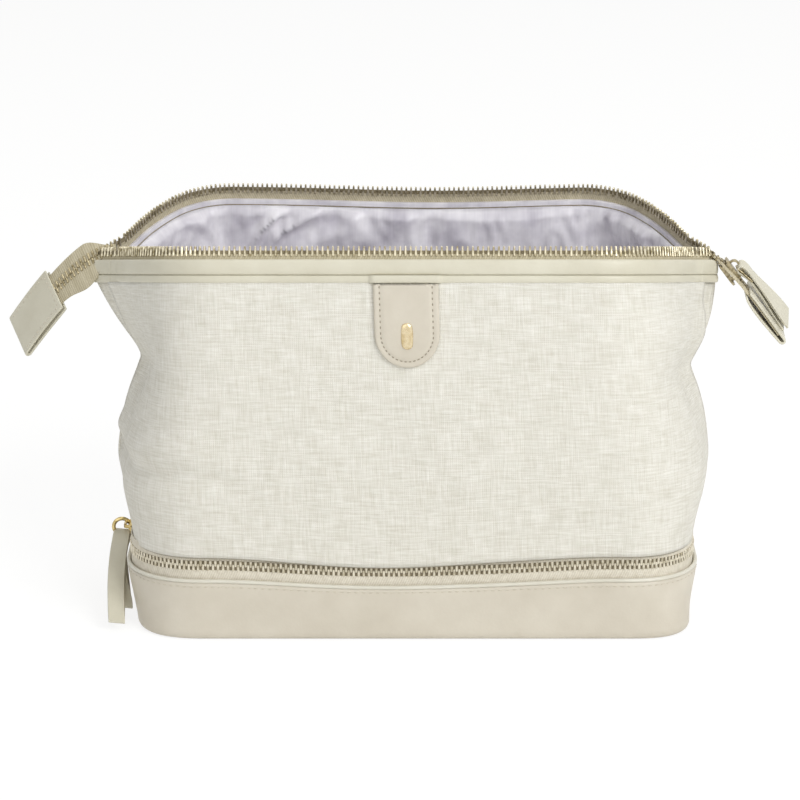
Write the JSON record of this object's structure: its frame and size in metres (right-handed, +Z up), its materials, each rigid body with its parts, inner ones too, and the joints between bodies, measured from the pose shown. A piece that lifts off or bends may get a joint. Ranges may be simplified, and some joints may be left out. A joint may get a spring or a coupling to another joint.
{
  "type": "makeup bag",
  "caption": "Wide-mouth canvas makeup bag with a sprung zip mouth, hanging zip tails, a front tab and a zipped leather lower compartment that opens on a rear hinge.",
  "frame": {"origin": "middle of the underside, on the surface the bag stands on", "axes": "+X to the right along the length, +Z up, front faces -Y"},
  "size_m": [0.3955, 0.1469, 0.1991],
  "materials": {
    "canvas": "plain linen weave",
    "leather": "smooth, matt",
    "lining": "satin",
    "tape": "woven tape",
    "brass": "antique, satin",
    "steel": "spring steel",
    "board": "stiffener"
  },
  "bodies": {
    "base": {"base_bottom": "leather", "base_wall": "leather", "base_roll": "leather", "base_board": "board", "base_lining": "lining", "base_zip_tape": "tape", "base_zip_teeth": "brass", "base_zip_stops": "brass", "base_hinge_leaf": "leather"},
    "bag": {"canvas_front": "canvas", "canvas_back": "canvas", "gusset_left": "canvas", "gusset_right": "canvas", "lining_front": "lining", "lining_back": "lining", "floor_board": "board", "floor_lining": "lining", "bag_zip_tape": "tape", "bag_zip_teeth": "brass", "bag_hinge_leaf": "leather", "front_tab": "leather", "tab_stud": "brass"},
    "front_frame": {"front_band": "leather", "front_spring": "steel", "front_facing": "lining", "front_zip_tape": "tape", "front_zip_teeth": "brass"},
    "rear_frame": {"rear_band": "leather", "rear_spring": "steel", "rear_facing": "lining", "rear_zip_tape": "tape", "rear_zip_teeth": "brass"},
    "zip_ends": {"end_patch_left": "leather", "end_patch_right": "leather"},
    "left_tail": {"left_tail_tape": "tape", "left_tail_teeth": "brass", "left_tail_tab": "leather"},
    "right_tail": {"right_tail_tape": "tape", "right_tail_teeth": "brass", "right_tail_tab": "leather"},
    "main_slider": {"main_slider": "brass"},
    "main_pull": {"main_link": "brass", "main_pull": "leather"},
    "base_slider": {"base_slider": "brass"},
    "base_ring": {"base_ring": "brass"},
    "base_pull": {"base_pull": "leather"}
  },
  "joints": [
    {"name": "bag_tilt", "type": "hinge", "parent": "base", "child": "bag", "pos_m": [0, 0.065, 0.0365], "axis": [-1, 0, 0], "range_deg": [0, 80]},
    {"name": "front_frame", "type": "hinge", "parent": "bag", "child": "front_frame", "pos_m": [0, -0.038, 0.161], "axis": [-1, 0, 0], "range_deg": [0, 87], "deforming": ["canvas_front", "canvas_back", "gusset_left", "gusset_right", "lining_front", "lining_back"]},
    {"name": "rear_frame", "type": "hinge", "parent": "bag", "child": "rear_frame", "pos_m": [0, 0.038, 0.161], "axis": [1, 0, 0], "range_deg": [0, 87]},
    {"name": "zip_ends", "type": "slide", "parent": "bag", "child": "zip_ends", "axis": [0, 0, 1], "range_m": [-0.0412, 0]},
    {"name": "left_tail", "type": "hinge", "parent": "zip_ends", "child": "left_tail", "pos_m": [-0.15692, 0, 0.17675], "axis": [0, 1, 0], "range_deg": [0, 60]},
    {"name": "right_tail", "type": "hinge", "parent": "zip_ends", "child": "right_tail", "pos_m": [0.14892, 0, 0.17859], "axis": [0, -1, 0], "range_deg": [0, 60]},
    {"name": "main_slider", "type": "slide", "parent": "right_tail", "child": "main_slider", "axis": [0.6018, 0, -0.7986], "range_m": [0, 0.0055]},
    {"name": "main_pull", "type": "hinge", "parent": "main_slider", "child": "main_pull", "pos_m": [0.15968, 0, 0.17104], "axis": [0, -1, 0], "range_deg": [0, 100]},
    {"name": "base_slider", "type": "slide", "parent": "base", "child": "base_slider", "axis": [0, -1, 0], "range_m": [-0.018, 0.02]},
    {"name": "base_ring", "type": "hinge", "parent": "base_slider", "child": "base_ring", "pos_m": [-0.1463, 0, 0.0365], "axis": [0, 1, 0], "range_deg": [0, 80]},
    {"name": "base_pull", "type": "hinge", "parent": "base_ring", "child": "base_pull", "pos_m": [-0.1479, 0, 0.03128], "axis": [-1, 0, 0], "range_deg": [0, 45]}
  ],
  "couplings": [
    {"joint": "rear_frame", "follows": "front_frame", "ratio": 1},
    {"joint": "zip_ends", "follows": "front_frame", "m_per_rad": -0.027}
  ]
}
